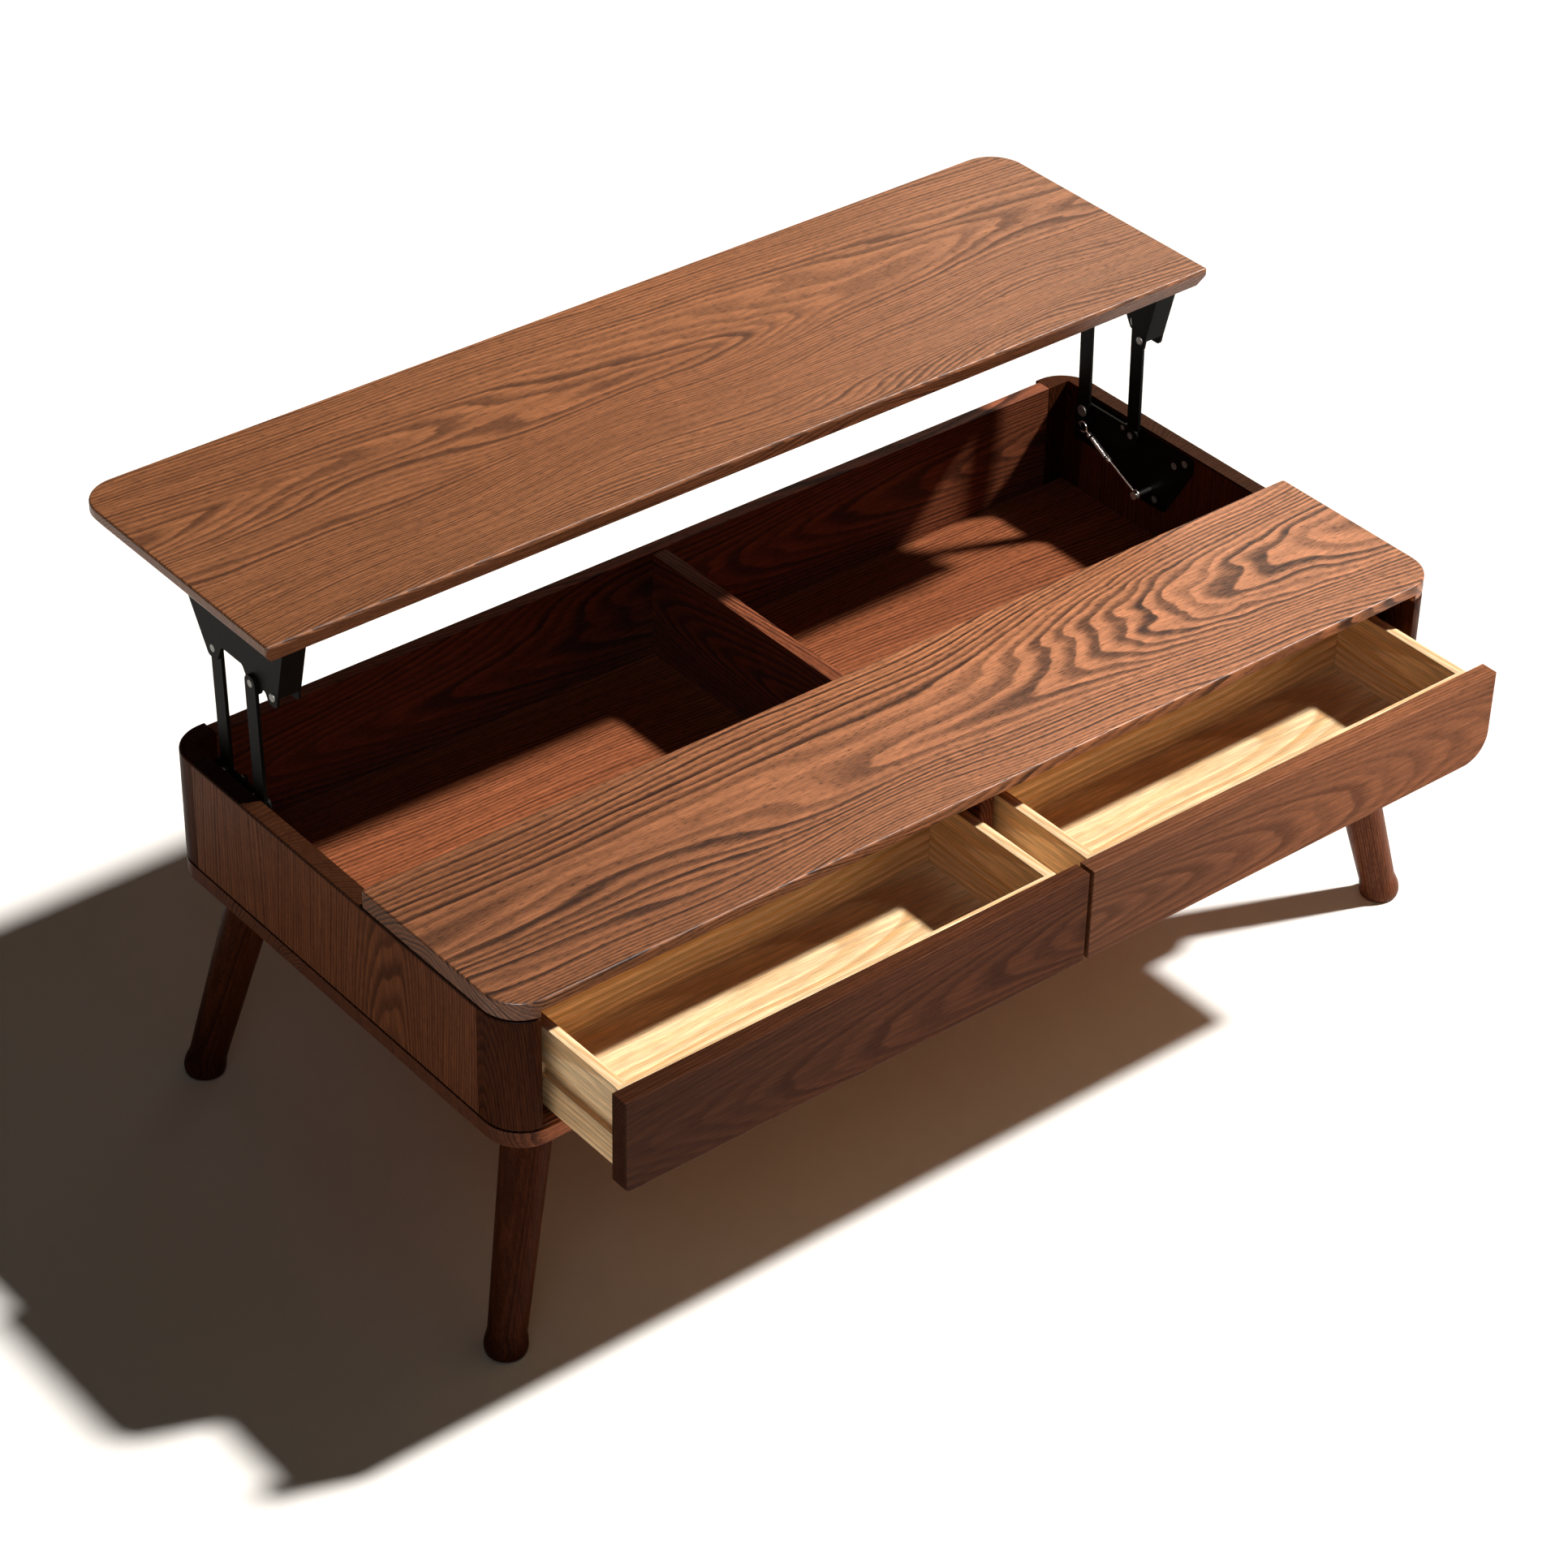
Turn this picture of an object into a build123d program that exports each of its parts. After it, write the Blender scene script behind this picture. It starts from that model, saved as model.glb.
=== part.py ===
from build123d import *
import math
import os

# Lift top coffee table: a case on four splayed legs, a fixed top over two drawers at the
# front and a lifting top over a storage well at the back. Millimetres, +Z up, X along the
# length, the drawers face -Y. Drawn as it stands in use: lifting top raised, drawers part open.

# overall
length = 1200.0
depth = 580.0
height = 430.0
corner_radius = 42.0
arris = 2.5

# lifting linkage, four equal arms
arm_length = 142.5
arm_lowered = math.radians(-22.0)
arm_raised = math.radians(92.0)
arm_width = 18.0
arm_thickness = 4.0
lift_height = arm_length * (math.sin(arm_raised) - math.sin(arm_lowered))
lift_back = arm_length * (math.cos(arm_lowered) - math.cos(arm_raised))

# drawers
drawer_pull = lift_back - 15.0
drawer_front_thickness = 20.0
drawer_front_bottom = 282.5
drawer_front_top = 388.0
drawer_front_end = 561.5
drawer_split = 5.0
box_outer = 548.0
box_inner = 20.0
box_length = 190.0
box_bottom = 285.0
box_top = 379.0
box_wall = 12.0
inner_board = 13.0
groove_low = 320.0
groove_high = 336.0
groove_depth = 6.0
panel_thickness = 5.0
panel_low = 291.0
dado = 4.0

# case, measured from the front face
front = -(depth + lift_back - drawer_pull) / 2.0
rear = front + depth
half = length / 2.0
board_bottom = 257.0
board_top = 280.0
rim = 408.0
wall = 20.0
post_width = 36.0
post_depth = 52.0
rear_post_width = 48.0
back_inset = 5.0
back_thickness = 18.0
reveal = 3.0
fixed_depth = 235.0
top_seam = 3.0
storage_wall_front = front + 224.0
storage_wall_rear = front + 248.0
divider_half = 9.0
lift_thickness = 21.5

# legs
leg_top_x = 535.0
leg_top_y = 229.0
foot_x = 596.0
foot_y = 266.0
leg_top_radius = 25.4
leg_ankle_radius = 19.6
foot_radius = 21.8
glide_radius = 13.0
glide_height = 4.0
foot_gap = 2.0

# mechanism planes, distance of each face from the middle of the table: wall plate, front arm,
# web of the base plate and bracket, rear arm; the two arms pass each other on both sides of
# the webs, so a pivot that an arm passes over is flush there
wall_face = half - wall
base_face = wall_face - 2.5
arm_outer = base_face - 0.5
arm_inner = arm_outer - arm_thickness
web_outer = arm_inner - 0.5
web_inner = web_outer - 3.0
rear_arm_outer = web_inner - 0.5
rear_arm_inner = rear_arm_outer - arm_thickness
pin_radius = 4.0
running_clearance = 0.05
head_radius = 7.0
base_pivot_z = height - 35.0
front_pivot_y = front + 442.0
rear_pivot_y = front + 514.0
raised_pivot_y = -arm_length * math.cos(arm_raised)
raised_pivot_z = arm_length * math.sin(arm_raised)

# spring
spring_x = rear_arm_inner - 7.5
lug_reach = 15.0
lug_angle = math.radians(-121.0)
lug_pin_radius = 2.5
anchor_y = front + 412.0
anchor_z = height - 92.0
wire = 0.7
coil_radius = 2.8
coil_pitch = 1.9


def block(x0, x1, y0, y1, z0, z1):
    return Pos((x0 + x1) / 2, (y0 + y1) / 2, (z0 + z1) / 2) * Box(x1 - x0, y1 - y0, z1 - z0)


def plan(points, z0, z1):
    return extrude(Plane((0, 0, z0)) * Polygon(*points, align=None), z1 - z0)


def side_face(x):
    return Plane(origin=(x, 0, 0), x_dir=(0, 1, 0), z_dir=(1, 0, 0))


def profile(points, x0, x1):
    return extrude(side_face(x0) * Polygon(*points, align=None), x1 - x0)


def rod(y, z, radius, x0, x1):
    return extrude(side_face(x0) * Pos(y, z) * Circle(radius), x1 - x0)


def other_side(shape):
    return mirror(shape, about=Plane.YZ)


def rivet_head(y, z, outer):
    head = rod(y, z, head_radius, outer - 2.0, outer)
    return fillet(head.edges().group_by(Axis.X)[0], 1.4)


def rounded(x0, x1, y0, y1, z0, z1, front_radius, rear_radius):
    slab = block(x0, x1, y0, y1, z0, z1)
    slab = fillet(slab.edges().filter_by(Axis.Z).group_by(Axis.Y)[0], front_radius)
    return fillet(slab.edges().filter_by(Axis.Z).group_by(Axis.Y)[-1], rear_radius)


def joined(shapes):
    total = shapes[0]
    for shape in shapes[1:]:
        total = total + shape
    return total


nodes = {}

# case -----------------------------------------------------------------------------------
shell = rounded(-half, half, front, rear, board_top, rim, corner_radius, corner_radius)
shell = fillet(shell.edges().group_by(Axis.Z)[-1], arris)
side_front = front + post_depth
side_rear = rear - post_depth
back_face = rear - back_inset
back_inner = back_face - back_thickness
nodes["side_panel_right"] = shell & block(wall_face, half, side_front, side_rear, board_top, rim)
front_post = shell & block(half - post_width, half, front, side_front, board_top, rim)
nodes["corner_post_front_right"] = front_post
post_side = block(wall_face, half, side_rear, rear, board_top, rim)
post_back = block(half - rear_post_width, half, back_inner, rear, board_top, rim)
nodes["corner_post_rear_right"] = shell & (post_side + post_back)
back_end = half - rear_post_width
back_panel = block(-back_end, back_end, back_inner, back_face, board_top, rim)
back_edge = back_panel.edges().group_by(Axis.Z)[-1].sort_by(Axis.Y)[-1]
nodes["back_panel"] = fillet(back_edge, arris)

base_board = rounded(-half, half, front, rear, board_bottom, board_top, corner_radius, corner_radius)
inset = rounded(
    -half + reveal, half - reveal, front + reveal, rear - reveal,
    board_bottom, board_top, corner_radius - reveal, corner_radius - reveal,
)
lower = block(-half, half, front, rear, board_bottom, board_top - reveal)
base_board = fillet(base_board.edges().group_by(Axis.Z)[0], 5.0)
base_board = (base_board & lower) + (base_board & inset)

storage_wall = block(-wall_face, wall_face, storage_wall_front, storage_wall_rear, board_top, rim)
nodes["storage_wall"] = storage_wall
nodes["storage_divider"] = block(
    -divider_half, divider_half, storage_wall_rear, back_inner, board_top, rim - 2.0
)
nodes["drawer_partition"] = block(
    -divider_half, divider_half, front + 30.0, storage_wall_front, board_top, rim
)

# fixed top with a shadow line under its edge and a finger relief over the drawers
fixed_top = rounded(
    -half, half, front, front + fixed_depth, rim, height, corner_radius, 4.0
)
fixed_top = fillet(fixed_top.edges().group_by(Axis.Z)[-1], arris)
top_inset = rounded(
    -half + reveal, half - reveal, front + reveal, front + fixed_depth,
    rim, height, corner_radius - reveal, 4.0,
)
above_reveal = block(-half, half, front, front + fixed_depth, rim + reveal, height)
fixed_top = (fixed_top & above_reveal) + (fixed_top & top_inset)
relief = [(front - 1, rim - 1), (front + 29, rim - 1), (front - 1, rim + 10)]
relief_end = half - post_width
nodes["fixed_top"] = fixed_top - profile(relief, -relief_end, relief_end)

# drawer runners, wooden bars that sit in the grooves of the drawer sides
runner_low = groove_low + 0.5
runner_high = groove_high - 0.5
runner_face = box_outer - groove_depth + 0.6
runner_front = front + 24.0
runner_rear = front + 212.0
post_face = half - post_width
runner_plan = [
    (runner_face, runner_front), (post_face, runner_front), (post_face, side_front),
    (wall_face, side_front), (wall_face, runner_rear), (runner_face, runner_rear),
]
nodes["runner_outer_right"] = plan(runner_plan, runner_low, runner_high)
runner_tip = box_inner + groove_depth - 0.6
nodes["runner_inner_right"] = block(
    divider_half, runner_tip, front + 30.0, runner_rear, runner_low, runner_high
)

# legs: turned, tapered, splayed, with a low rounded bead at the foot ----------------------
middle = (front + rear) / 2.0
leg_rise = math.sqrt((foot_x - leg_top_x) ** 2 + (foot_y - leg_top_y) ** 2 + board_bottom ** 2)
ankle = 24.0
foot_curve = Spline(
    (12, -8), (19.4, -1), (foot_radius, 9), (foot_radius - 0.9, 17), (leg_ankle_radius, ankle)
)
leg_outline = [
    Line((0, -8), (12, -8)),
    foot_curve,
    Line((leg_ankle_radius, ankle), (leg_top_radius + 0.6, leg_rise + 20)),
    Line((leg_top_radius + 0.6, leg_rise + 20), (0, leg_rise + 20)),
    Line((0, leg_rise + 20), (0, -8)),
]
turned = revolve(Plane.XZ * make_face(Curve() + leg_outline), Axis.Z)


def leg(side, end):
    foot = Vector(side * foot_x, middle + end * foot_y, 0)
    top = Vector(side * leg_top_x, middle + end * leg_top_y, board_bottom)
    shape = Plane(origin=foot, z_dir=top - foot) * turned
    reach = 120.0
    room = block(
        foot.X - reach, foot.X + reach, foot.Y - reach, foot.Y + reach, foot_gap, board_bottom
    )
    shape = shape & room
    recess = Pos(foot.X, foot.Y, glide_height / 2) * Cylinder(glide_radius, glide_height)
    bolt_hole = Pos(top.X, top.Y, board_bottom - 20) * Cylinder(4.0, 40)
    return shape - recess - bolt_hole


bolts = []
glides = []
for end_name, end in (("front", -1), ("rear", 1)):
    for side_name, side in (("left", -1), ("right", 1)):
        nodes["leg_" + end_name + "_" + side_name] = leg(side, end)
        bolt = Pos(side * leg_top_x, middle + end * leg_top_y, board_bottom - 11) * Cylinder(4.0, 58)
        bolts.append(bolt)
        glide = Pos(side * foot_x, middle + end * foot_y, glide_height / 2)
        glide = glide * Cylinder(glide_radius, glide_height)
        glides.append(chamfer(glide.edges().group_by(Axis.Z)[0], 0.8))
        base_board = base_board - bolt
nodes["base_board"] = base_board
nodes["leg_bolts"] = Compound(children=bolts)
nodes["foot_glides"] = Compound(children=glides)

# fixed plates of the linkage, screwed flat to the side panels ---------------------------
base_plate_outline = [
    (front + 538, height - 26), (front + 350, height - 26), (front + 350, height - 44),
    (front + 388, height - 112), (front + 424, height - 112), (front + 490, height - 78),
    (front + 538, height - 78),
]
base_plate = profile(base_plate_outline, base_face, wall_face)
base_plate = fillet(base_plate.edges().filter_by(Axis.X), 5.0)
web_outline = [
    (front + 530, height - 25), (front + 431, height - 25), (front + 431, height - 46),
    (front + 494, height - 78), (front + 530, height - 78),
]
web = profile(web_outline, web_inner, web_outer)
web_corners = web.edges().filter_by(Axis.X).filter_by(lambda e: e.center().Z > height - 60)
web = fillet(web_corners, 8.0)
fold = block(web_inner, wall_face, front + 494, front + 530, height - 78, height - 75.5)
base_plate = base_plate + fold + web
stop_y = front_pivot_y + arm_width / 2 + 3.4
stop_z = base_pivot_z + 5.0
screw_spots = [
    (front + 362, height - 36), (front + 378, height - 46), (front + 404, height - 102),
    (front + 478, height - 66), (front + 518, height - 68), (front + 490, height - 37),
]
for pivot_y in (front_pivot_y, rear_pivot_y):
    base_plate = base_plate - rod(pivot_y, base_pivot_z, pin_radius, web_inner, wall_face)
front_rivet = rod(front_pivot_y, base_pivot_z, pin_radius, web_inner, wall_face)
rear_rivet = rod(rear_pivot_y, base_pivot_z, pin_radius, rear_arm_inner - 0.5, wall_face)
base_rivets = [front_rivet, rear_rivet + rivet_head(rear_pivot_y, base_pivot_z, rear_arm_inner - 0.5)]
stop_pin = rod(stop_y, stop_z, 3.0, web_inner, wall_face)
anchor_pin = rod(anchor_y, anchor_z, lug_pin_radius, spring_x - 5.5, wall_face)
anchor_pin = anchor_pin + rod(anchor_y, anchor_z, 4.5, spring_x - 5.5, spring_x - 4.0)
base_plate = base_plate - rod(stop_y, stop_z, 3.0, web_inner, wall_face)
base_plate = base_plate - rod(anchor_y, anchor_z, lug_pin_radius, base_face, wall_face)
base_screws = []
for screw_y, screw_z in screw_spots:
    cone = extrude(side_face(base_face) * Pos(screw_y, screw_z) * Circle(4.2), 2.5, taper=38)
    thread = rod(screw_y, screw_z, 2.0, wall_face, wall_face + 13)
    base_plate = base_plate - cone
    slot = block(base_face, base_face + 0.9, screw_y - 3.0, screw_y + 3.0, screw_z - 0.5, screw_z + 0.5)
    cross = block(base_face, base_face + 0.9, screw_y - 0.5, screw_y + 0.5, screw_z - 3.0, screw_z + 3.0)
    base_screws.append((cone - slot - cross) + thread)
    nodes["side_panel_right"] = nodes["side_panel_right"] - thread
nodes["base_plate_right"] = base_plate

# arms -----------------------------------------------------------------------------------
arm_heading = math.degrees(math.atan2(raised_pivot_z, raised_pivot_y))


def arm_outline(pivot_y):
    mid_y = pivot_y + raised_pivot_y / 2
    mid_z = base_pivot_z + raised_pivot_z / 2
    return Pos(mid_y, mid_z) * Rot(0, 0, arm_heading) * SlotCenterToCenter(arm_length, arm_width)


def pierced(outline, pivot_y, inner):
    hole = Circle(pin_radius + running_clearance)
    outline = outline - Pos(pivot_y, base_pivot_z) * hole
    top_y = pivot_y + raised_pivot_y
    outline = outline - Pos(top_y, base_pivot_z + raised_pivot_z) * hole
    return extrude(side_face(inner) * outline, arm_thickness)


nodes["arm_front_right"] = pierced(arm_outline(front_pivot_y), front_pivot_y, arm_inner)

lug_y = rear_pivot_y + lug_reach * math.cos(lug_angle)
lug_z = base_pivot_z + lug_reach * math.sin(lug_angle)
tail_end = lug_reach + 6.5
tail = Pos(rear_pivot_y, base_pivot_z) * Rot(0, 0, math.degrees(lug_angle)) * Pos(tail_end / 2, 0)
tail = tail * Rectangle(tail_end, 13.0)
tail = extrude(side_face(rear_arm_inner) * tail, arm_thickness)
tail_corners = tail.edges().filter_by(Axis.X).group_by(Axis.Z)
tail_corners = tail_corners[0] + tail_corners[1]
rear_arm = pierced(arm_outline(rear_pivot_y), rear_pivot_y, rear_arm_inner)
rear_arm = rear_arm + fillet(tail_corners, 5.5)
rear_arm = rear_arm - rod(
    rear_pivot_y, base_pivot_z, pin_radius + running_clearance, rear_arm_inner, rear_arm_outer
)
lug_pin = rod(lug_y, lug_z, lug_pin_radius, spring_x - 5.5, rear_arm_outer)
lug_pin = lug_pin + rod(lug_y, lug_z, 4.5, spring_x - 5.5, spring_x - 4.0)
nodes["arm_rear_right"] = rear_arm + lug_pin

# lifting top and its two brackets --------------------------------------------------------
lift_front = front + fixed_depth + top_seam + lift_back
lift_rear = rear + lift_back
lift_top_z = height + lift_height
lift_under = lift_top_z - lift_thickness
bevel_in = 8.0
bevel_high = lift_under + 11.0
upper = rounded(-half, half, lift_front, lift_rear, bevel_high, lift_top_z, 3.0, corner_radius)
upper = fillet(upper.edges().group_by(Axis.Z)[-1], arris)
tray = rounded(
    -half, half, lift_front, lift_rear, bevel_high - 1.0, bevel_high, 3.0, corner_radius
)
full_face = tray.faces().sort_by(Axis.Z)[-1]
foot_face = rounded(
    -half + bevel_in, half - bevel_in, lift_front, lift_rear - bevel_in,
    lift_under, lift_under + 1.0, 3.0, corner_radius - bevel_in,
).faces().sort_by(Axis.Z)[0]
under = loft([foot_face, full_face], ruled=True)
lift_top = upper + under
undercut = [
    (lift_front - 1, lift_top_z - 4), (lift_front - 1, lift_under - 1),
    (lift_front + 6.5, lift_under - 1), (lift_front + 6.5, lift_under), (lift_front, lift_top_z - 4),
]
lift_top = lift_top - profile(undercut, -half, half)

pivot_1 = front_pivot_y + raised_pivot_y
pivot_2 = rear_pivot_y + raised_pivot_y
pivot_z = base_pivot_z + raised_pivot_z
flange = 2.5
bracket_front = pivot_1 - 56.0
bracket_rear = pivot_2 + 46.0
bracket_low = pivot_z - 10.5
spare_pivot = pivot_1 - 33.0
nose = spare_pivot - 8.0
notch = spare_pivot + 16.0
bracket_outline = [
    (bracket_front, lift_under), (nose, bracket_low + 12), (nose + 2, bracket_low),
    (spare_pivot + 8, bracket_low), (notch, pivot_z + 6), (pivot_1 - 9, bracket_low),
    (pivot_1 + 7, bracket_low),
    (pivot_1 + 19, pivot_z + 10), (pivot_2 - 17, pivot_z + 10), (pivot_2 - 8, bracket_low),
    (pivot_2 + 7, bracket_low), (bracket_rear, lift_under - 12), (bracket_rear, lift_under),
]
bracket = profile(bracket_outline, web_inner, web_outer)
soft = bracket.edges().filter_by(Axis.X).filter_by(lambda e: e.center().Z < lift_under - 5)
bracket = fillet(soft, 5.0)

# the bracket is a channel: a flange under the top, a shorter inner web and a sloping nose
flange_inner = web_outer - 27.0
bracket = bracket + block(
    flange_inner, web_outer, bracket_front, bracket_rear, lift_under - flange, lift_under
)
inner_outline = [
    (bracket_front, lift_under), (nose, bracket_low + 12), (nose + 2, bracket_low),
    (spare_pivot + 8, bracket_low), (notch, pivot_z + 22), (bracket_rear, lift_under - 12),
    (bracket_rear, lift_under),
]
inner_web = profile(inner_outline, flange_inner, flange_inner + flange)
soft = inner_web.edges().filter_by(Axis.X).filter_by(lambda e: e.center().Z < lift_under - 5)
bracket = bracket + fillet(soft, 4.0)
nose_low = bracket_low + 12.0
nose_outline = [
    (bracket_front, lift_under), (nose, nose_low), (nose + 2.6, nose_low),
    (bracket_front + 2.6, lift_under),
]
bracket = bracket + profile(nose_outline, flange_inner, web_outer)
for pivot in (pivot_1, pivot_2):
    bracket = bracket - rod(pivot, pivot_z, pin_radius, web_inner, web_outer)
front_rivet = rod(pivot_1, pivot_z, pin_radius, web_inner, arm_outer)
rear_rivet = rod(pivot_2, pivot_z, pin_radius, rear_arm_inner - 0.5, web_outer)
bracket_rivets = [
    front_rivet + rivet_head(pivot_1, pivot_z, web_inner),
    rear_rivet + rivet_head(pivot_2, pivot_z, rear_arm_inner - 0.5),
]
spare_outer = web_outer + 1.6
spare_inner = flange_inner - 1.6
bracket = bracket - rod(spare_pivot, pivot_z, 3.0, flange_inner, web_outer)
spare_rivet = rod(spare_pivot, pivot_z, 3.0, spare_inner, spare_outer)
for side_edge, x0, x1 in ((-1, web_outer, spare_outer), (0, spare_inner, flange_inner)):
    spare_head = rod(spare_pivot, pivot_z, 4.8, x0, x1)
    spare_rivet = spare_rivet + fillet(spare_head.edges().group_by(Axis.X)[side_edge], 1.1)
bracket_rivets.append(spare_rivet)
bracket_screws = []
screw_x = flange_inner + 13.0
for screw_y in (bracket_front + 14, pivot_1 - 4, pivot_2 - 12, bracket_rear - 12):
    spot = Pos(screw_x, screw_y, lift_under - flange / 2)
    bracket = bracket - spot * Cylinder(2.2, flange)
    thread = Pos(screw_x, screw_y, lift_under + 4.5 - flange / 2) * Cylinder(2.2, 9.0 + flange)
    pan = Pos(screw_x, screw_y, lift_under - flange - 1.2) * Cylinder(4.5, 2.4)
    pan = fillet(pan.edges().group_by(Axis.Z)[0], 1.5)
    recess_a = Pos(screw_x, screw_y, lift_under - flange - 2.0) * Box(5.0, 1.0, 1.0)
    recess_b = Pos(screw_x, screw_y, lift_under - flange - 2.0) * Box(1.0, 5.0, 1.0)
    screw = (pan - recess_a - recess_b) + thread
    bracket_screws.append(screw)
    lift_top = lift_top - thread - other_side(thread)
nodes["bracket_right"] = bracket
nodes["lift_top"] = lift_top

# springs: a rod on the fixed plate, a coil, and a hook on the tail of each rear arm -------
anchor = Vector(spring_x, anchor_y, anchor_z)
lug = Vector(spring_x, lug_y, lug_z)
spring_length = (lug - anchor).length
eye_radius = 4.6
hook_radius = 6.0
eye_wire = 1.2
eye_shift = eye_radius - eye_wire - lug_pin_radius - 0.1
hook_shift = hook_radius - eye_wire - lug_pin_radius - 0.1
rod_end = 50.0
coil_start = rod_end + 5.0
coil_end = spring_length - 17.0
line = Plane(origin=anchor, x_dir=(1, 0, 0), z_dir=lug - anchor)


def eye(at, radius):
    return Pos(0, 0, at) * Rot(0, 90, 0) * Torus(radius, eye_wire)


def stem(z0, z1, radius):
    return Pos(0, 0, (z0 + z1) / 2) * Cylinder(radius, z1 - z0)


def cap(z0, z1):
    shape = stem(z0, z1, coil_radius + wire)
    return fillet(shape.edges(), 1.0)


fixed_rod = eye(eye_shift, eye_radius) + stem(eye_shift + eye_radius, rod_end + 1, 1.3)
fixed_rod = fixed_rod + cap(rod_end, coil_start)
hook_at = spring_length - hook_shift
hook = eye(hook_at, hook_radius) + stem(coil_end + 3, hook_at - hook_radius, 1.3)
hook = hook + cap(coil_end, coil_end + 4)
nodes["spring_rod_right"] = line * fixed_rod
nodes["spring_hook_right"] = line * hook
coil_height = coil_end - coil_start - 2 * wire - 0.4
turns = Helix(coil_pitch, coil_height, coil_radius)
wire_end = Plane(origin=turns @ 0, z_dir=turns % 0) * RegularPolygon(wire, 8)
tube = sweep(wire_end, path=turns, is_frenet=True)
nodes["spring_coil_right"] = line * Pos(0, 0, coil_start + wire + 0.2) * tube

# mirrored pieces of the case and the linkage ----------------------------------------------
for name in list(nodes):
    if name.endswith("_right") and not name.startswith("leg"):
        nodes[name.replace("_right", "_left")] = other_side(nodes[name])


def both_sides(shapes):
    return Compound(children=shapes + [other_side(shape) for shape in shapes])


nodes["base_plate_screws"] = both_sides(base_screws)
nodes["base_pivot_rivets"] = both_sides(base_rivets)
nodes["stop_pins"] = both_sides([stop_pin])
nodes["spring_anchor_pins"] = both_sides([anchor_pin])
nodes["bracket_screws"] = both_sides(bracket_screws)
nodes["bracket_rivets"] = both_sides(bracket_rivets)

# drawers, shown part open ------------------------------------------------------------------
face = front - drawer_pull
front_back = face + drawer_front_thickness
box_rear = front_back + box_length
board_back = front_back + inner_board


def drawer(side_name, side):
    flip = other_side if side < 0 else (lambda shape: shape)
    inner_end = drawer_split / 2
    panel = block(
        inner_end, drawer_front_end, face, front_back, drawer_front_bottom, drawer_front_top
    )
    low_corner = panel.edges().filter_by(Axis.Y).group_by(Axis.Z)[0].sort_by(Axis.X)[-1]
    panel = fillet(low_corner, 32.0 if side > 0 else 6.0)
    panel = fillet(panel.edges().group_by(Axis.Y)[0], 1.5)
    board = block(box_inner, box_outer, front_back, board_back, box_bottom, box_top)
    outer = block(box_outer - box_wall, box_outer, board_back, box_rear, box_bottom, box_top)
    inner = block(box_inner, box_inner + box_wall, board_back, box_rear, box_bottom, box_top)
    bottom = block(
        box_inner + box_wall - dado, box_outer - box_wall + dado, board_back - dado, box_rear,
        panel_low, panel_low + panel_thickness,
    )
    back = block(
        box_inner + box_wall, box_outer - box_wall, box_rear - box_wall, box_rear,
        panel_low + panel_thickness, box_top - 7.0,
    )
    outer_groove = block(
        box_outer - groove_depth, box_outer, front_back, box_rear, groove_low, groove_high
    )
    inner_groove = block(
        box_inner, box_inner + groove_depth, front_back, box_rear, groove_low, groove_high
    )
    screws = []
    for screw_x in (110.0, 240.0, 330.0, 460.0):
        for screw_z in (318.0, 352.0):
            shank = Pos(screw_x, front_back, screw_z) * Rot(90, 0, 0) * Cylinder(2.0, 26.0)
            pan = Pos(screw_x, board_back + 1.1, screw_z) * Rot(90, 0, 0) * Cylinder(4.0, 2.2)
            pan = fillet(pan.edges().group_by(Axis.Y)[-1], 1.4)
            screws.append(shank + pan)
            panel = panel - shank
            board = board - shank
    prefix = "drawer_" + side_name + "_"
    nodes[prefix + "front"] = flip(panel)
    nodes[prefix + "inner_board"] = flip(board - outer_groove - inner_groove - bottom)
    nodes[prefix + "side_outer"] = flip(outer - outer_groove - bottom)
    nodes[prefix + "side_inner"] = flip(inner - inner_groove - bottom)
    nodes[prefix + "bottom"] = flip(bottom)
    nodes[prefix + "back"] = flip(back)
    nodes[prefix + "screws"] = flip(Compound(children=screws))


drawer("left", -1)
drawer("right", 1)

os.makedirs("parts", exist_ok=True)
for name, shape in nodes.items():
    shape.label = name
    export_step(shape, "parts/" + name + ".step")
print(len(nodes), "nodes")
print("pull", round(drawer_pull, 3), "front", round(front, 3), "lift", lift_height, lift_back)
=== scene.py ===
import math

import bpy
from mathutils import Matrix, Vector


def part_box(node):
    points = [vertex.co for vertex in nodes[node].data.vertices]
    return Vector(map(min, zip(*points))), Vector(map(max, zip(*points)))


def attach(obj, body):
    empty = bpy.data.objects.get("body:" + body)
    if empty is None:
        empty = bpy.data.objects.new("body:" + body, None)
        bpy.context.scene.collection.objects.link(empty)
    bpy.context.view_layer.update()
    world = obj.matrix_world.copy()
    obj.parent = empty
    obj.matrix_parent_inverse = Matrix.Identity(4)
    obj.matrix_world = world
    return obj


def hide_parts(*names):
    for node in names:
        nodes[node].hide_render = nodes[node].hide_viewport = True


# Lift top coffee table: the imported CAD nodes get their wood, metal and plastic finishes, with
# painted light and shade in some of the wood, soft edges and new spring coils. Metres, row frame:
# X along the table, the drawers face -Y.

MM = 0.001

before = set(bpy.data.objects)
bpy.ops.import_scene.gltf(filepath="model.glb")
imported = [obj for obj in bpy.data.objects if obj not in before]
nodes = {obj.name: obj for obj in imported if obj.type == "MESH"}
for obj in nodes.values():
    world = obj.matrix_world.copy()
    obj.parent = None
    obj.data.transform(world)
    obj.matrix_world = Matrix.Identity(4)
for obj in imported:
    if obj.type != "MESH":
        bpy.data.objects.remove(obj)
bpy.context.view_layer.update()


# materials: nodes are made by name and joined by what they return -------------------------

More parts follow.
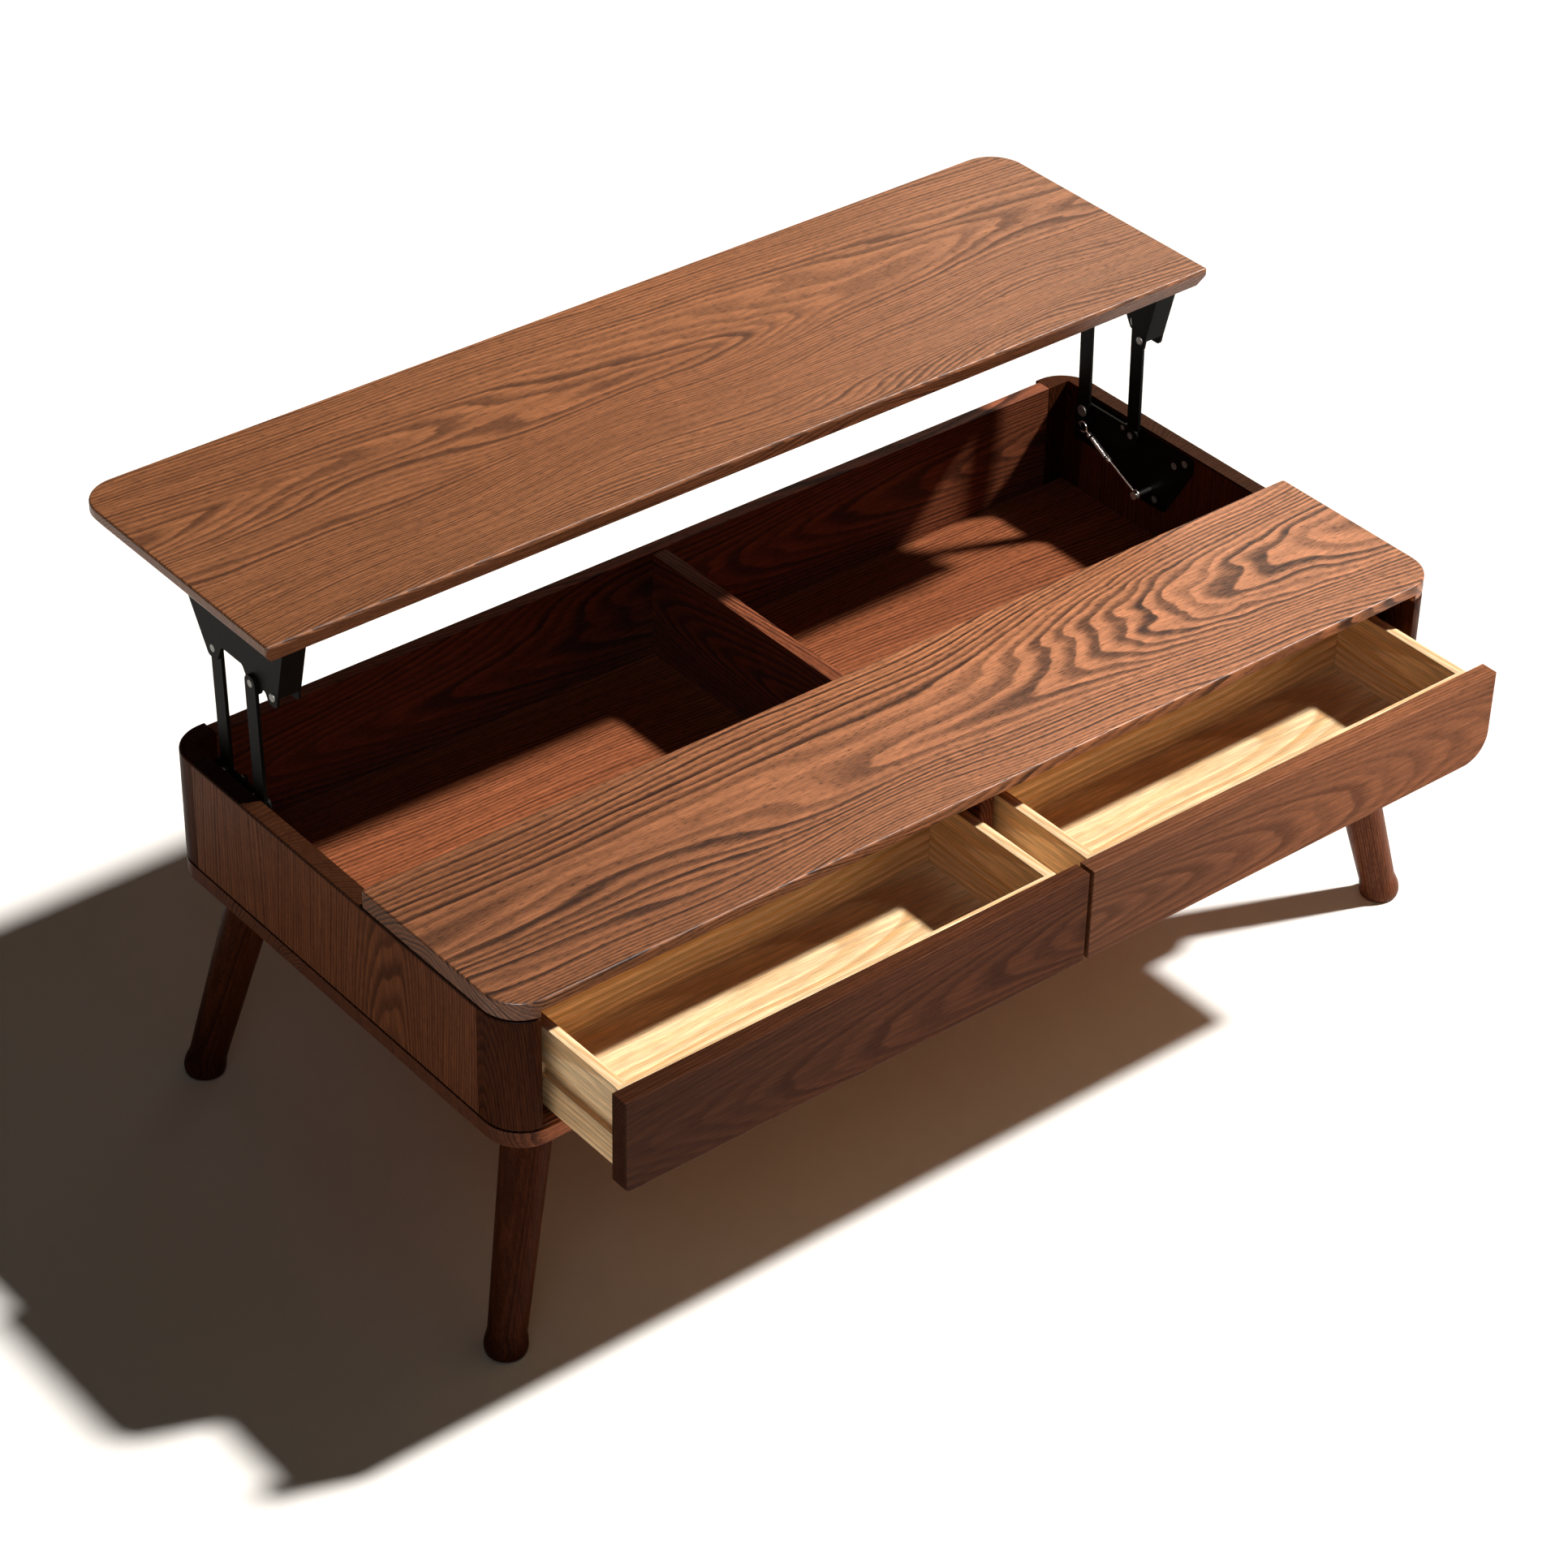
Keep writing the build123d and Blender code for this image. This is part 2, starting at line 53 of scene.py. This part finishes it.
class Shader:
    """One material. Each call adds a node and returns its main output."""

    def __init__(self, name, **surface):
        self.material = bpy.data.materials.new(name)
        self.material.use_nodes = True
        self.tree = self.material.node_tree
        self.surface = self.tree.nodes["Principled BSDF"]
        for socket, value in surface.items():
            self.surface.inputs[socket.replace("_", " ")].default_value = value

    def add(self, kind, inputs=(), **settings):
        node = self.tree.nodes.new("ShaderNode" + kind)
        for key, value in settings.items():
            setattr(node, key, value)
        for key, value in dict(inputs).items():
            if isinstance(value, bpy.types.NodeSocket):
                self.tree.links.new(value, node.inputs[key])
            else:
                node.inputs[key].default_value = value
        return node

    def math(self, operation, *values, clamp=False):
        return self.add("Math", enumerate(values), operation=operation, use_clamp=clamp).outputs[0]

    def split(self, vector):
        return self.add("SeparateXYZ", {0: vector}).outputs

    def join(self, x, y, z):
        return self.add("CombineXYZ", {0: x, 1: y, 2: z}).outputs[0]

    def noise(self, vector, scale, detail=2.0, roughness=0.5):
        inputs = {"Vector": vector, "Scale": scale, "Detail": detail, "Roughness": roughness}
        return self.add("TexNoise", inputs).outputs["Fac"]

    def steps(self, value, low, high, out_low=0.0, out_high=1.0):
        inputs = {0: value, 1: low, 2: high, 3: out_low, 4: out_high}
        return self.add("MapRange", inputs, interpolation_type="SMOOTHSTEP").outputs[0]

    def blend(self, share, colour_a, colour_b, blend_type="MIX"):
        inputs = {0: share, 6: colour_a, 7: colour_b}
        return self.add("Mix", inputs, data_type="RGBA", blend_type=blend_type).outputs[2]

    def place(self):
        return self.add("TexCoord").outputs["Object"]

    def link(self, output, socket):
        self.tree.links.new(output, self.surface.inputs[socket])

    def bump(self, height, depth, strength=1.0):
        inputs = {"Height": height, "Distance": depth, "Strength": strength}
        self.link(self.add("Bump", inputs).outputs[0], "Normal")


def rgb(red, green, blue):
    return (red, green, blue, 1.0)


# wood figure, in metres from the middle of a board's face ----------------------------------

# each noise: its share along the grain, for what runs long, and its scale across it, per metre
WAVE = (0.22, 9.0)
RIPPLE = (0.12, 45.0)
JAG = (0.5, 30.0)
FLAME = (0.22, 5.0)
FIBRE = (0.03, 900.0)
STREAK = (0.03, 160.0)
PORE = (0.06, 1500.0)

WAVE_ACROSS = 0.07  # how far the trunk waves across the face and behind it, times its swirl
WAVE_INWARDS = -0.03
RIPPLE_HEIGHT = 0.0045
FAR_END = (0.12, 0.42)  # zigzag arches grow between these places along the grain
CALM = (0.045, 0.105)  # and die down between these distances from the middle line
CALM_SHARE = 0.12
BEND = 0.12  # length of the trunk's bend, where it starts to lean
RING_PLACE = 0.11  # distance from the trunk's axis at which a ring has its named width
DARKENS = (0.0, 0.14)  # the part of a ring in which it turns dark, and then pale again
PALES = (0.25, 0.85)
PORE_LIMIT = 0.59  # noise above this is an open pore, and in a dark band a little less will do
PORE_LIMIT_DROP = -0.13
PORE_SHARPNESS = 14.0
DULLER = 0.08  # added to the roughness of bands and pores
RELIEF = 0.12 * MM


def board_place(shader, grain, face, centre, skew):
    """The place in the board: along the grain, across it and behind its face."""
    by_axis = dict(zip("XYZ", shader.split(shader.place())))
    at_axis = dict(zip("XYZ", centre))
    third = (set("XYZ") - {grain, face}).pop()
    along, across, deep = (
        shader.math("SUBTRACT", by_axis[axis], at_axis[axis]) for axis in (grain, third, face)
    )
    if skew:
        across = shader.math("MULTIPLY_ADD", along, skew, across)
    return along, across, deep


def grain_noise(shader, place, kind, detail=2.0, roughness=0.5):
    """Noise drawn out along the grain. kind is its share along the grain and its scale."""
    along, across, deep = place
    share, scale = kind
    drawn_out = shader.join(shader.math("MULTIPLY", along, share), across, deep)
    return shader.noise(drawn_out, scale, detail, roughness)


def swing(shader, noise):
    """Noise moved so that it swings evenly about 0."""
    return shader.math("SUBTRACT", noise, 0.5)


def zigzag_along(shader, place, zigzag):
    """The place along the grain, pushed to and fro at the far end of the board's middle."""
    along, across, _ = place
    if not zigzag:
        return along
    far_end = shader.steps(along, *FAR_END)
    calm = shader.steps(shader.math("ABSOLUTE", across), *CALM, 1.0, CALM_SHARE)
    jag = swing(shader, grain_noise(shader, place, JAG, 0.6, 0.7))
    jag = shader.math("MULTIPLY", jag, shader.math("MULTIPLY", far_end, calm))
    return shader.math("MULTIPLY_ADD", jag, zigzag, along)


def trunk_radius(shader, place, depth, lean, start, swirl, zigzag):
    """Distance from the trunk's axis, which waves slowly and leans from start onwards."""
    _, across, deep = place
    wave = swing(shader, grain_noise(shader, place, WAVE, 1.0))
    ripple = swing(shader, grain_noise(shader, place, RIPPLE))
    leaning = shader.math("SMOOTH_MAX", zigzag_along(shader, place, zigzag), start, BEND)
    sideways = shader.math("MULTIPLY_ADD", wave, WAVE_ACROSS * swirl, across)
    inwards = shader.math("ADD", deep, shader.math("MULTIPLY_ADD", leaning, lean, depth))
    inwards = shader.math("MULTIPLY_ADD", wave, WAVE_INWARDS * swirl, inwards)
    squares = [shader.math("POWER", side, 2.0) for side in (sideways, inwards)]
    radius = shader.math("SQRT", shader.math("ADD", *squares))
    return shader.math("MULTIPLY_ADD", ripple, RIPPLE_HEIGHT * swirl, radius)


def ring_band(shader, radius, ring, heart):
    """Late wood of each ring: 1 where it is dark, with its own weight from ring to ring."""
    scale = heart * ring * RING_PLACE ** (heart - 1)
    turns = shader.math("DIVIDE", shader.math("POWER", radius, heart), scale)
    count = shader.math("FLOOR", turns)
    phase = shader.math("FRACT", turns)
    weight = shader.add("TexWhiteNoise", {"W": count}, noise_dimensions="1D").outputs["Value"]
    weight = shader.steps(weight, 0.0, 1.0, 0.45, 1.0)
    darker = shader.steps(phase, *DARKENS)
    paler = shader.steps(phase, *PALES, 1.0, 0.0)
    return shader.math("MULTIPLY", shader.math("MULTIPLY", darker, paler), weight)


def wood(
    name, tone, grain, face, centre,
    depth=0.05, lean=0.0, skew=0.0, start=-10.0, ring=7 * MM, swirl=1.0, zigzag=0.0,
    heart=1.0, fade=(0.0, 1.0, 1.0, 1.0),
):
    """Sawn wood: rings round a trunk axis that runs along the grain, depth behind the face.

    From start onwards the trunk leans by lean metres per metre against the face, which draws
    arches on it. skew leans it across the face too. Towards the far end of the board zigzag makes
    the arches jagged. ring is the rings' width at RING_PLACE, and a heart above 1 makes the inner
    rings wider. The last argument gives two places along the grain and the tone at each: it is
    painted shade on the tops and the drawer fronts, end grain stain and painted shade on the side
    panels' rims, and on the base board it darkens the left end."""
    shader = Shader(name, IOR=1.5, Specular_IOR_Level=tone["specular"])
    place = board_place(shader, grain, face, centre, skew)
    radius = trunk_radius(shader, place, depth, lean, start, swirl, zigzag)
    band = ring_band(shader, radius, ring, heart)

    # fibres and pores: the pores open mostly in the dark bands
    fibre = grain_noise(shader, place, FIBRE, 2.0, 0.6)
    streak = grain_noise(shader, place, STREAK, 2.0, 0.6)
    pore = grain_noise(shader, place, PORE, 1.0)
    limit = shader.math("MULTIPLY_ADD", band, PORE_LIMIT_DROP, PORE_LIMIT)
    open_pore = shader.math("SUBTRACT", pore, limit)
    open_pore = shader.math("MULTIPLY", open_pore, PORE_SHARPNESS, clamp=True)

    # colour: bands broken by streaks, warm flames, flecks of fibre carrying the painted shade along
    # the grain, then the pores
    shade = shader.math("MULTIPLY", band, shader.steps(streak, 0.30, 0.62, 0.55, 1.0))
    colour = shader.blend(shade, rgb(*tone["light"]), rgb(*tone["dark"]))
    flame = shader.steps(grain_noise(shader, place, FLAME, 1.0), 0.3, 0.7)
    flame = shader.math("MULTIPLY", flame, 0.35)
    colour = shader.blend(flame, colour, rgb(*tone["warm"]), "MULTIPLY")
    fleck_and_shade = shader.steps(fibre, 0.25, 0.75, 0.70, 1.26)
    fleck_and_shade = shader.math("MULTIPLY", fleck_and_shade, shader.steps(streak, 0.3, 0.7, 0.80, 1.16))
    # painted shade: the flecks, and so the whole colour, darken along the grain between the two given
    # places
    fleck_and_shade = shader.math("MULTIPLY", fleck_and_shade, shader.steps(place[0], *fade))
    colour = shader.blend(1.0, colour, shader.join(fleck_and_shade, fleck_and_shade, fleck_and_shade), "MULTIPLY")
    filled = shader.math("MULTIPLY", open_pore, tone["pores"])
    shader.link(shader.blend(filled, colour, rgb(*tone["pore"])), "Base Color")

    # gloss and relief: the bands and pores are duller and lie deeper
    gloss = tone["roughness"]
    dull = shader.math("ADD", shade, open_pore)
    shader.link(shader.steps(dull, 0.0, 1.5, gloss, gloss + DULLER), "Roughness")
    height = shader.math("MULTIPLY_ADD", fibre, 0.25, shader.math("MULTIPLY", shade, -0.25))
    height = shader.math("MULTIPLY_ADD", open_pore, -0.8, height)
    shader.bump(height, RELIEF, 0.42)
    return shader.material


def stained(light, dark, roughness=0.36, pores=0.55, specular=0.05):
    """A dark stain over open-pored wood: the pores take up the most of it."""
    return {
        "light": light, "dark": dark, "warm": (0.80, 0.70, 0.62),
        "pore": tuple(0.45 * c for c in dark), "pores": pores, "roughness": roughness,
        "specular": specular,
    }


TOP = stained((0.490, 0.192, 0.086), (0.040, 0.013, 0.006), 0.34, 0.75, 0.24)
LIFT = stained((0.345, 0.134, 0.056), (0.100, 0.036, 0.016), 0.34, 0.70, 0.24)
CASE = stained((0.155, 0.052, 0.021), (0.066, 0.022, 0.009), 0.42, 0.5, 0.03)
# painted shade: the corner posts take a darker copy of the case's wood, for the shade the front posts
# stand in
SHADED_POST = stained((0.064, 0.018, 0.006), (0.028, 0.008, 0.003), 0.42, 0.5, 0.02)
BASE = stained((0.290, 0.092, 0.038), (0.075, 0.023, 0.011), 0.44, 0.6)
INNER = stained((0.240, 0.072, 0.031), (0.055, 0.016, 0.008), 0.46, 0.6, 0.10)
# painted light and shade: the left drawer front takes a dark copy of one wood, for shade, and the
# right one a light copy, for light
DRAWER_SHADED_AND_LIT = {
    "left": stained((0.088, 0.028, 0.011), (0.050, 0.015, 0.006), 0.40, 0.5, 0.03),
    "right": stained((0.285, 0.102, 0.043), (0.160, 0.055, 0.023), 0.40, 0.5),
}
# painted light and shade: the left legs take a dark copy of one wood, for their shade, and the right
# legs a light copy, for the light on them
LEG_SHADED_AND_LIT = {
    "left": stained((0.064, 0.016, 0.005), (0.034, 0.009, 0.003), 0.36, 0.5, 0.02),
    "right": stained((0.165, 0.054, 0.024), (0.085, 0.027, 0.012), 0.36, 0.5),
}
PINE = {
    "light": (0.840, 0.610, 0.360), "dark": (0.610, 0.350, 0.145), "warm": (0.96, 0.88, 0.76),
    "pore": (0.480, 0.270, 0.120), "pores": 0.22, "roughness": 0.50, "specular": 0.30,
}


def metal(name, colour, roughness, metallic=1.0, grain=0.0, scale=1500.0, **more):
    """Bright or painted metal with a fine unevenness in its gloss."""
    shader = Shader(name, Metallic=metallic, **more)
    at = shader.place()
    speckle = shader.noise(at, scale, 3.0, 0.6)
    patch = shader.noise(at, 60.0, 2.0)
    dim = tuple(0.78 * c for c in colour)
    shader.link(shader.blend(shader.steps(patch, 0.3, 0.7), rgb(*dim), rgb(*colour)), "Base Color")
    shader.link(shader.steps(speckle, 0.25, 0.75, roughness - 0.06, roughness + 0.08), "Roughness")
    if grain:
        shader.bump(speckle, grain, 0.6)
    return shader.material


black_steel = metal(
    "black_steel", (0.0065, 0.006, 0.005), 0.46, 0.0, 0.03 * MM, 2600.0, Specular_IOR_Level=0.035
)
zinc = metal("zinc", (0.80, 0.79, 0.76), 0.30)
dull_zinc = metal("dull_zinc", (0.20, 0.195, 0.185), 0.42)
chrome = metal("chrome", (0.95, 0.94, 0.92), 0.24)
glide = metal("glide", (0.045, 0.043, 0.042), 0.55, 0.0, 0.05 * MM, 1800.0)


# which finish each CAD node gets, with painted light and shade in some wood ------------

LEG_THICK = 46 * MM
RIM_STAIN_AND_SHADE = (4 * MM, 1.5 * MM)  # the rim's end grain is darkened between these depths: end grain stain, and painted shade of the raised lid
TOP_SHADE_PLACES = (-0.62, 0.31)  # painted shade: the tops are darkest at the first place and full from the second, for the light falling off to the left


def size_of(name):
    low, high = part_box(name)
    return high - low


def splay(leg):
    """How far a leg leans along x and along y, in metres for each metre of its height."""
    size = size_of(leg)
    return (size.x - LEG_THICK) / size.z, (size.y - LEG_THICK) / size.z


def dress(name, material):
    nodes[name].data.materials.clear()
    nodes[name].data.materials.append(material)


def board(name, tone, grain, face, side=0, offset=0.0, **figure):
    """A board's own wood. side is +1 or -1 for the face the rings are drawn behind."""
    low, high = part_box(name)
    centre = (low + high) / 2
    index = "XYZ".index(face)
    if side:
        centre[index] = high[index] if side > 0 else low[index]
    third = ({0, 1, 2} - {index, "XYZ".index(grain)}).pop()
    centre[third] += offset
    dress(name, wood(name + "_wood", tone, grain, face, centre, **figure))


# painted shade: both tops darken towards their left ends, where the light falls off
board(
    "fixed_top", TOP, "X", "Z", 1, 0.01,
    depth=0.124, lean=-0.18, start=0.10, ring=5.2 * MM, swirl=1.2, zigzag=0.12, heart=1.7,
    fade=(*TOP_SHADE_PLACES, 0.47, 1.0),
)
board(
    "lift_top", LIFT, "X", "Z", 1, 0.05,
    depth=0.120, lean=0.03, ring=3.2 * MM, swirl=1.2, fade=(*TOP_SHADE_PLACES, 0.70, 1.0),
)
for side in ("left", "right"):
    sign = -1 if side == "left" else 1
    # painted shade: the rims' tops are darkened to 0.28 of the tone, for the raised lid's shade as
    # well as end grain stain
    rim = size_of("side_panel_" + side).z / 2
    stain_and_shade_from, stain_and_shade_to = (rim - depth for depth in RIM_STAIN_AND_SHADE)
    board(
        "side_panel_" + side, CASE, "Z", "X", sign, -0.09, depth=0.03 * -sign, lean=0.13,
        ring=5.0 * MM, fade=(stain_and_shade_from, stain_and_shade_to, 1.0, 0.28),
    )
    for end in ("front", "rear"):
        # corner posts in the painted-shade copy of the case's wood
        board(
            f"corner_post_{end}_{side}", SHADED_POST, "Z", "X", 0, 0.03,
            depth=0.04, lean=0.2, ring=3.4 * MM,
        )
        splay_x, splay_y = splay(f"leg_{end}_{side}")
        # legs in the painted-shade copy on the left and the painted-light copy on the right
        board(
            f"leg_{end}_{side}", LEG_SHADED_AND_LIT[side], "Z", "X", 0, 0.02, depth=0.05 * sign,
            lean=sign * splay_x, skew=splay_y * (-1 if end == "front" else 1),
            ring=3.0 * MM, swirl=0.25,
        )
    # painted shade: each drawer front also darkens towards its left end, for the light falling off
    board(
        f"drawer_{side}_front", DRAWER_SHADED_AND_LIT[side], "X", "Y", -1, -0.01,
        depth=0.06, lean=0.06 * sign, ring=3.4 * MM, swirl=0.6,
        fade=(-0.30, 0.15, 0.50, 1.0),
    )
    for end in ("inner_board", "back"):
        board(f"drawer_{side}_{end}", PINE, "X", "Y", 0, 0.05, depth=0.06, lean=0.04, ring=9 * MM)
    for end in ("outer", "inner"):
        board(f"drawer_{side}_side_{end}", PINE, "Y", "X", 0, 0.04, depth=0.05, lean=0.06, ring=8 * MM)
        board(f"runner_{end}_{side}", PINE, "Y", "X", 0, 0.02, depth=0.05, lean=0.02, ring=6 * MM)
    board(f"drawer_{side}_bottom", PINE, "X", "Z", 1, 0.06, depth=0.05, lean=0.08, ring=11 * MM)
board("back_panel", INNER, "X", "Y", 1, 0.0, depth=-0.04, lean=0.06, ring=4 * MM)
board(
    "base_board", BASE, "X", "Z", 1, 0.05, depth=0.08, lean=0.05, ring=4 * MM,
    fade=(-0.59, -0.55, 0.40, 1.0),
)
board("storage_wall", INNER, "X", "Y", 1, 0.0, depth=-0.05, lean=0.06, ring=4 * MM)
board("storage_divider", INNER, "Y", "X", 1, 0.02, depth=0.05, lean=0.08, ring=4 * MM)
board("drawer_partition", INNER, "Y", "X", 1, 0.02, depth=0.05, lean=0.08, ring=4 * MM)

FINISH = {
    "base_plate": black_steel, "arm_": black_steel, "bracket_left": black_steel,
    "bracket_right": black_steel, "spring_rod": chrome, "spring_hook": chrome,
    "spring_coil": chrome, "foot_glides": glide,
}
SMALL = (
    "base_plate_screws", "base_pivot_rivets", "stop_pins", "spring_anchor_pins",
    "bracket_screws", "bracket_rivets", "leg_bolts", "drawer_left_screws", "drawer_right_screws",
)
DULL = ("base_plate_screws", "base_pivot_rivets", "bracket_rivets", "bracket_screws", "stop_pins")
for name in nodes:
    if name in SMALL:
        dress(name, dull_zinc if name in DULL else zinc)
        continue
    for start, material in FINISH.items():
        if name.startswith(start):
            dress(name, material)


# soft edges -------------------------------------------------------------------------------

def soften(name, width, segments=2):
    """Merges split vertices, joins flat triangles, rounds the edges and keeps flat faces flat."""
    piece = nodes[name]
    if "custom_normal" in piece.data.attributes:
        piece.data.attributes.remove(piece.data.attributes["custom_normal"])
    piece.data.shade_smooth()
    weld = piece.modifiers.new("weld", "WELD")
    weld.merge_threshold = 1e-6
    flat = piece.modifiers.new("flat", "DECIMATE")
    flat.decimate_type = "DISSOLVE"
    flat.angle_limit = math.radians(0.5)
    edge = piece.modifiers.new("edge", "BEVEL")
    edge.width = width
    edge.segments = segments
    edge.limit_method = "ANGLE"
    edge.angle_limit = math.radians(38)
    edge.miter_outer = "MITER_ARC"
    level = piece.modifiers.new("level", "WEIGHTED_NORMAL")
    level.mode = "FACE_AREA"
    level.weight = 90


ARRIS = 0.7 * MM
PRESSED_ARRIS = 0.35 * MM
PRESSED = ("base_plate_left", "base_plate_right", "bracket_left", "bracket_right", "arm_")
READY = ("leg_", "spring", "foot_", "fixed_top", "lift_top")
for name in nodes:
    if name in SMALL or name.startswith(READY):
        continue
    soften(name, PRESSED_ARRIS if name.startswith(PRESSED) else ARRIS)


# spring coils: round wire in place of the plain coil nodes ---------------------------------

WIRE = 0.75 * MM  # half its thickness
COIL_RADIUS = 2.75 * MM
TURNS = 17
TURN_STEPS = 24
WIRE_SIDES = 10
CLOSING = 0.03  # how far the end turns close up
PITCH_LEAN = 0.08  # the wire's slope along the spring


def add_coil(side):
    """The wire's helix, with closed end turns, in the line from the rod's eye to the hook's."""
    rod_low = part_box("spring_rod_" + side)[0]
    hook_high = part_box("spring_hook_" + side)[1]
    coil_low, coil_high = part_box("spring_coil_" + side)
    line = Vector((0, hook_high.y - rod_low.y, hook_high.z - rod_low.z)).normalized()
    lateral = Vector((1, 0, 0))
    normal = line.cross(lateral)
    centre = (coil_low + coil_high) / 2
    size = coil_high - coil_low
    half = (size.y - 2 * (COIL_RADIUS + WIRE) * abs(line.z)) / abs(line.y) / 2 - WIRE
    total = TURNS * TURN_STEPS
    verts, faces = [], []
    for i in range(total + 1):
        share = i / total
        angle = 2 * math.pi * TURNS * share
        eased = share + math.sin(2 * math.pi * share) * CLOSING
        out = math.cos(angle) * lateral + math.sin(angle) * normal
        point = centre + line * half * (2 * eased - 1) + out * COIL_RADIUS
        forward = math.cos(angle) * normal - math.sin(angle) * lateral + line * PITCH_LEAN
        sideways = forward.normalized().cross(out).normalized()
        for k in range(WIRE_SIDES):
            a = 2 * math.pi * k / WIRE_SIDES
            verts.append(point + WIRE * (math.cos(a) * out + math.sin(a) * sideways))
    for i in range(total):
        for k in range(WIRE_SIDES):
            a = i * WIRE_SIDES + k
            b = i * WIRE_SIDES + (k + 1) % WIRE_SIDES
            faces.append((a, b, b + WIRE_SIDES, a + WIRE_SIDES))
    faces.append(tuple(range(WIRE_SIDES)))
    faces.append(tuple(reversed(range(total * WIRE_SIDES, (total + 1) * WIRE_SIDES))))
    mesh = bpy.data.meshes.new("coil_" + side)
    mesh.from_pydata([tuple(v) for v in verts], [], faces)
    mesh.shade_smooth()
    mesh.validate()
    mesh.materials.append(chrome)
    coil = bpy.data.objects.new("coil_" + side, mesh)
    bpy.context.scene.collection.objects.link(coil)
    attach(coil, "spring_hook_" + side)
    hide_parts("spring_coil_" + side)


for side in ("left", "right"):
    add_coil(side)


# floor, camera and light ------------------------------------------------------------------

FLOOR_HALF = 40.0
LENS = 97.86
CAMERA_PLACE = (-2.3186, -2.7337, 2.8436)
CAMERA_TURN = (39.845, 35.876, 1.444)  # degrees: from +Y towards +X, down, and about its own axis
AIM = (0.0, 0.0, 0.3)


def add_floor():
    half = FLOOR_HALF
    mesh = bpy.data.meshes.new("floor")
    corners = [(-half, -half, 0), (half, -half, 0), (half, half, 0), (-half, half, 0)]
    mesh.from_pydata(corners, [], [(0, 1, 2, 3)])
    floor = bpy.data.objects.new("floor", mesh)
    bpy.context.scene.collection.objects.link(floor)
    shader = Shader("floor_paint", Roughness=0.7, Specular_IOR_Level=0.3)
    cloud = shader.noise(shader.place(), 1.2, 2.0)
    shader.link(shader.blend(cloud, rgb(0.80, 0.775, 0.74), rgb(0.83, 0.81, 0.78)), "Base Color")
    mesh.materials.append(shader.material)


def add_camera():
    data = bpy.data.cameras.new("camera")
    data.lens = LENS
    data.sensor_width = 36.0
    data.clip_end = 100.0
    camera = bpy.data.objects.new("camera", data)
    bpy.context.scene.collection.objects.link(camera)
    yaw, pitch, roll = (math.radians(angle) for angle in CAMERA_TURN)
    forward = Vector((math.sin(yaw), math.cos(yaw), 0.0))
    ahead = forward * math.cos(pitch) - Vector((0.0, 0.0, math.sin(pitch)))
    level = Vector((math.cos(yaw), -math.sin(yaw), 0.0))
    upright = level.cross(ahead)
    right = math.cos(roll) * level + math.sin(roll) * upright
    up = math.cos(roll) * upright - math.sin(roll) * level
    turn = Matrix((right, up, -ahead)).transposed().to_4x4()
    camera.matrix_world = Matrix.Translation(CAMERA_PLACE) @ turn
    bpy.context.scene.camera = camera


def add_light(name, kind, energy, azimuth, elevation, distance=4.0, diffuse=True, **settings):
    """A light aimed at the table's middle. azimuth is measured from +X towards -Y."""
    data = bpy.data.lights.new(name, kind)
    data.energy = energy
    for key, value in settings.items():
        setattr(data, key, value)
    light = bpy.data.objects.new(name, data)
    bpy.context.scene.collection.objects.link(light)
    a, e = math.radians(azimuth), math.radians(elevation)
    towards = Vector((math.cos(a) * math.cos(e), -math.sin(a) * math.cos(e), math.sin(e)))
    light.visible_diffuse = diffuse
    light.location = Vector(AIM) + distance * towards
    light.rotation_mode = "QUATERNION"
    light.rotation_quaternion = (-towards).to_track_quat("-Z", "Y")


def add_world():
    world = bpy.data.worlds.new("studio")
    world.use_nodes = True
    ground = world.node_tree.nodes["Background"]
    ground.inputs["Color"].default_value = (1.0, 0.80, 0.58, 1.0)
    ground.inputs["Strength"].default_value = 0.038
    bpy.context.scene.world = world


add_floor()
add_camera()
add_light(
    "key", "SUN", 6.4, azimuth=19.5, elevation=48.0,
    angle=math.radians(4.0), color=(1.0, 0.98, 0.95),
)
add_light(
    "sheen", "AREA", 30.0, azimuth=-32.0, elevation=32.0, diffuse=False,
    shape="RECTANGLE", size=2.0, size_y=1.2, color=(1.0, 0.88, 0.74),
)
add_light(
    "glint", "AREA", 260.0, azimuth=140.0, elevation=42.0, diffuse=False,
    shape="RECTANGLE", size=1.2, size_y=1.2, color=(1.0, 0.98, 0.96),
)
add_world()
bpy.context.scene.view_settings.view_transform = "Standard"
